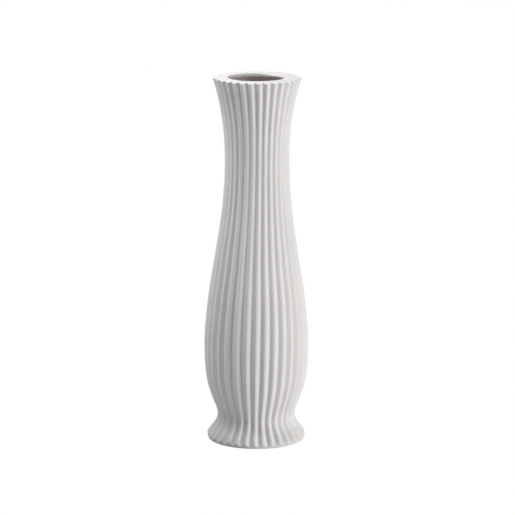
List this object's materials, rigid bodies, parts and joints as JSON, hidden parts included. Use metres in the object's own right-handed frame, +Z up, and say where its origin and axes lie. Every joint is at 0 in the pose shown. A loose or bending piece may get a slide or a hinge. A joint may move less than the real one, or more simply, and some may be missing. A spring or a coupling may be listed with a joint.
{
  "type": "flower vase",
  "caption": "Tall slender ribbed flower vase with a flared lip, round mouth, low belly, pinched waist and flared foot on small self-adhesive pads.",
  "frame": {"origin": "on the vase's axis, on the surface that the foot pads stand on", "axes": "+Z up along the vase's axis, from foot to mouth; +X and +Y are any two level directions, because the vase is round"},
  "size_m": [0.1137, 0.1137, 0.4],
  "materials": {
    "bisque": "matt unglazed white earthenware, very fine grain, slightly warm and darker inside",
    "pad_rubber": "matt translucent grey-white elastomer"
  },
  "bodies": {
    "root": {"vase_body": "bisque", "foot_pad_1": "pad_rubber", "foot_pad_2": "pad_rubber", "foot_pad_3": "pad_rubber", "foot_pad_4": "pad_rubber"}
  },
  "joints": []
}
